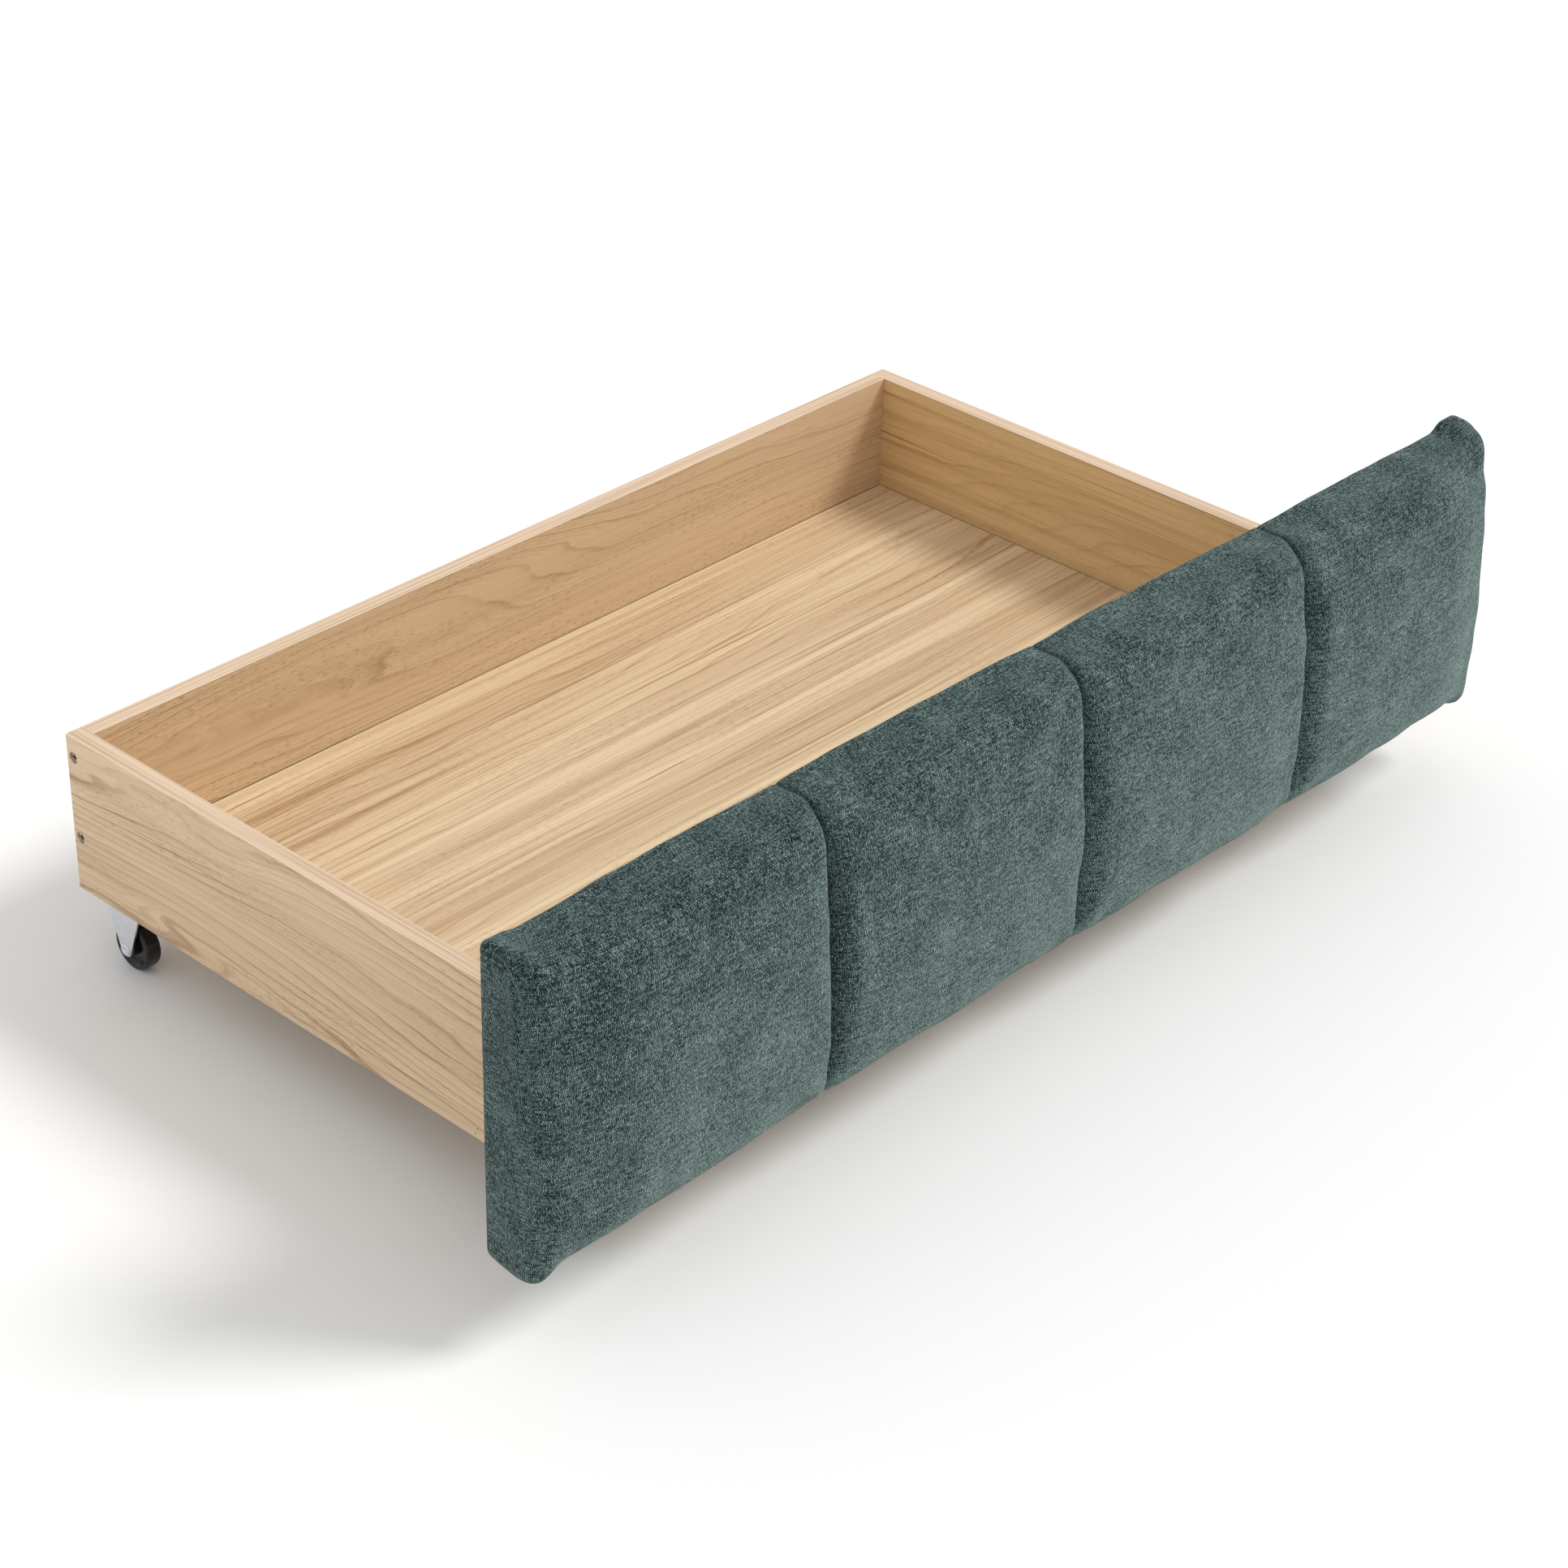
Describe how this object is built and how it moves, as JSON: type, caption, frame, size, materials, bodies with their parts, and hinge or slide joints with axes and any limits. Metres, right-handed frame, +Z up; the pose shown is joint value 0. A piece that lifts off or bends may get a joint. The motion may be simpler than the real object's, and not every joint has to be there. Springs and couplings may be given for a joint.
{
  "type": "under bed drawer",
  "caption": "Low wheeled under-bed storage drawer: open wood-effect box on rigid casters with a wide channel-upholstered fabric front.",
  "frame": {"origin": "on the floor, at the middle of the whole object's outline in plan", "axes": "+X along the upholstered front, towards its right end seen from the front; -Y out of the upholstered front; +Z up"},
  "size_m": [1.095, 0.608, 0.31],
  "materials": {
    "oak_foil_board": "satin light oak foil on particle board",
    "solid_pine": "planed, unfinished",
    "raw_board": "unfaced particle board",
    "beech_dowel": "plain beech",
    "foam": "open-cell upholstery foam",
    "chenille": "grey-green chenille with fine flecks",
    "nonwoven": "black non-woven backing cloth",
    "staple_wire": "bare wire",
    "zinc_screw": "zinc plated",
    "zinc_plate": "bright zinc-plated pressed steel",
    "black_plastic": "moulded black"
  },
  "bodies": {
    "root": {"left_side_panel": "oak_foil_board", "right_side_panel": "oak_foil_board", "back_panel": "oak_foil_board", "inner_front_panel": "oak_foil_board", "bottom_panel": "oak_foil_board", "corner_block_rear_left": "solid_pine", "corner_block_rear_right": "solid_pine", "corner_block_front_left": "solid_pine", "corner_block_front_right": "solid_pine", "rear_batten": "solid_pine", "front_batten": "solid_pine", "front_board": "raw_board", "edge_wadding": "foam", "foam_pad_1": "foam", "foam_pad_2": "foam", "foam_pad_3": "foam", "foam_pad_4": "foam", "front_cover": "chenille", "dust_cover": "nonwoven", "cover_staples": "staple_wire", "frame_staples": "staple_wire", "corner_screws": "zinc_screw", "corner_dowels": "beech_dowel", "front_bolts": "zinc_screw", "tee_nuts": "zinc_screw", "caster_screws": "zinc_screw", "caster_bracket_rear_left": "zinc_plate", "caster_axle_rear_left": "zinc_plate", "caster_bracket_rear_right": "zinc_plate", "caster_axle_rear_right": "zinc_plate", "caster_bracket_front_left": "zinc_plate", "caster_axle_front_left": "zinc_plate", "caster_bracket_front_right": "zinc_plate", "caster_axle_front_right": "zinc_plate"},
    "wheel_rear_left": {"caster_wheel_rear_left": "black_plastic"},
    "wheel_rear_right": {"caster_wheel_rear_right": "black_plastic"},
    "wheel_front_left": {"caster_wheel_front_left": "black_plastic"},
    "wheel_front_right": {"caster_wheel_front_right": "black_plastic"}
  },
  "joints": [
    {"name": "wheel_rear_left_spin", "type": "hinge", "parent": "root", "child": "wheel_rear_left", "pos_m": [-0.4435, 0.2575, 0.02], "axis": [1, 0, 0], "continuous": true},
    {"name": "wheel_rear_right_spin", "type": "hinge", "parent": "root", "child": "wheel_rear_right", "pos_m": [0.4435, 0.2575, 0.02], "axis": [1, 0, 0], "continuous": true},
    {"name": "wheel_front_left_spin", "type": "hinge", "parent": "root", "child": "wheel_front_left", "pos_m": [-0.4435, -0.1945, 0.02], "axis": [1, 0, 0], "continuous": true},
    {"name": "wheel_front_right_spin", "type": "hinge", "parent": "root", "child": "wheel_front_right", "pos_m": [0.4435, -0.1945, 0.02], "axis": [1, 0, 0], "continuous": true}
  ]
}
